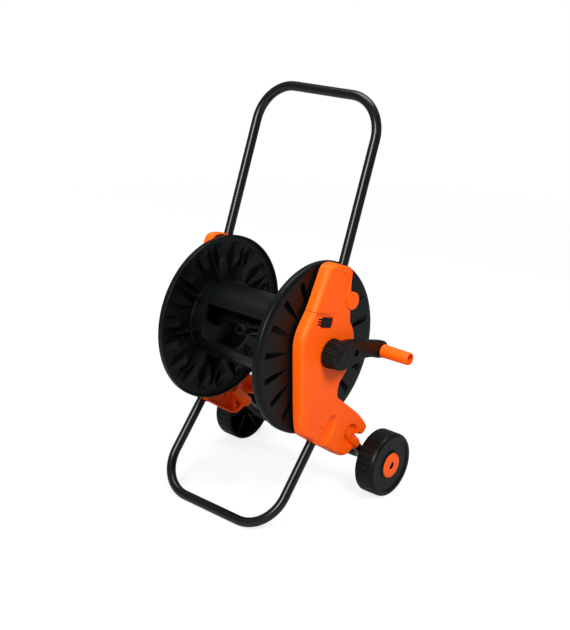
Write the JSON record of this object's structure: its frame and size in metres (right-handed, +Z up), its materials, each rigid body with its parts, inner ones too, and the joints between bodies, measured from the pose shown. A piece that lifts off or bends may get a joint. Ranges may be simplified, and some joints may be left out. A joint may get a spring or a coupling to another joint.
{
  "type": "hose reel cart",
  "caption": "Two-wheeled garden hose reel cart: dished ribbed flanges on an open core between moulded side frames, bent tube handle and foot, side crank.",
  "frame": {"origin": "middle of the bounding box's footprint, on the floor", "axes": "+Z up, +X along the reel axis towards the crank, +Y from the front foot towards the wheels"},
  "size_m": [0.502, 0.4014, 0.8473],
  "materials": {
    "orange_plastic": "glossy moulded orange plastic",
    "black_plastic": "satin moulded black plastic",
    "black_paint": "gloss black powder coat on steel tube",
    "steel": "zinc plated steel",
    "nylon": "natural nylon",
    "seal_rubber": "black rubber"
  },
  "bodies": {
    "frame": {"side_frame_right": "orange_plastic", "side_frame_left": "orange_plastic", "foot_tube": "black_paint", "rear_axle_tube": "black_paint", "axle_rod": "steel", "bearing_bush_right": "nylon", "bearing_bush_left": "nylon", "hinge_pin_right": "steel", "hinge_pin_left": "steel", "axle_spacer_right": "black_plastic", "axle_spacer_left": "black_plastic", "push_nut_right": "steel", "push_nut_left": "steel"},
    "handle": {"handle_tube": "black_paint", "handle_cap_right": "orange_plastic", "handle_cap_left": "orange_plastic"},
    "latch_right": {"latch_button_right": "black_plastic"},
    "latch_left": {"latch_button_left": "black_plastic"},
    "reel": {"flange_right": "black_plastic", "flange_left": "black_plastic", "core_panel_1": "black_plastic", "core_panel_2": "black_plastic", "core_panel_3": "black_plastic", "core_screw_1_right": "steel", "core_screw_1_left": "steel", "core_screw_2_right": "steel", "core_screw_2_left": "steel", "core_screw_3_right": "steel", "core_screw_3_left": "steel", "drive_stub": "black_plastic", "water_pipe": "black_plastic", "hose_outlet": "black_plastic", "crank_arm": "black_plastic", "crank_screw": "steel", "crank_cap": "black_plastic", "crank_pin": "steel"},
    "grip": {"crank_grip": "orange_plastic"},
    "inlet": {"inlet_elbow": "black_plastic", "inlet_seal": "seal_rubber"},
    "wheel_right": {"wheel_right": "black_plastic", "wheel_cap_right": "orange_plastic"},
    "wheel_left": {"wheel_left": "black_plastic", "wheel_cap_left": "orange_plastic"}
  },
  "joints": [
    {"name": "handle_fold", "type": "hinge", "parent": "frame", "child": "handle", "pos_m": [-0.02105, 0.04425, 0.449], "axis": [-1, 0, 0], "range_deg": [0, 130]},
    {"name": "latch_press_right", "type": "slide", "parent": "frame", "child": "latch_right", "axis": [-1, 0, 0], "range_m": [0, 0.005], "stiffness_N_per_m": 400, "springref_m": -0.003},
    {"name": "latch_press_left", "type": "slide", "parent": "frame", "child": "latch_left", "axis": [1, 0, 0], "range_m": [0, 0.005], "stiffness_N_per_m": 400, "springref_m": -0.003},
    {"name": "reel_turn", "type": "hinge", "parent": "frame", "child": "reel", "pos_m": [-0.02105, -0.02175, 0.356], "axis": [1, 0, 0], "continuous": true},
    {"name": "grip_turn", "type": "hinge", "parent": "reel", "child": "grip", "pos_m": [0.20895, 0.11275, 0.3315], "axis": [1, 0, 0], "continuous": true},
    {"name": "inlet_swivel", "type": "hinge", "parent": "reel", "child": "inlet", "pos_m": [-0.19905, -0.02175, 0.356], "axis": [1, 0, 0], "continuous": true},
    {"name": "wheel_roll_right", "type": "hinge", "parent": "frame", "child": "wheel_right", "pos_m": [0.18295, 0.13075, 0.07], "axis": [1, 0, 0], "continuous": true},
    {"name": "wheel_roll_left", "type": "hinge", "parent": "frame", "child": "wheel_left", "pos_m": [-0.22505, 0.13075, 0.07], "axis": [1, 0, 0], "continuous": true}
  ]
}
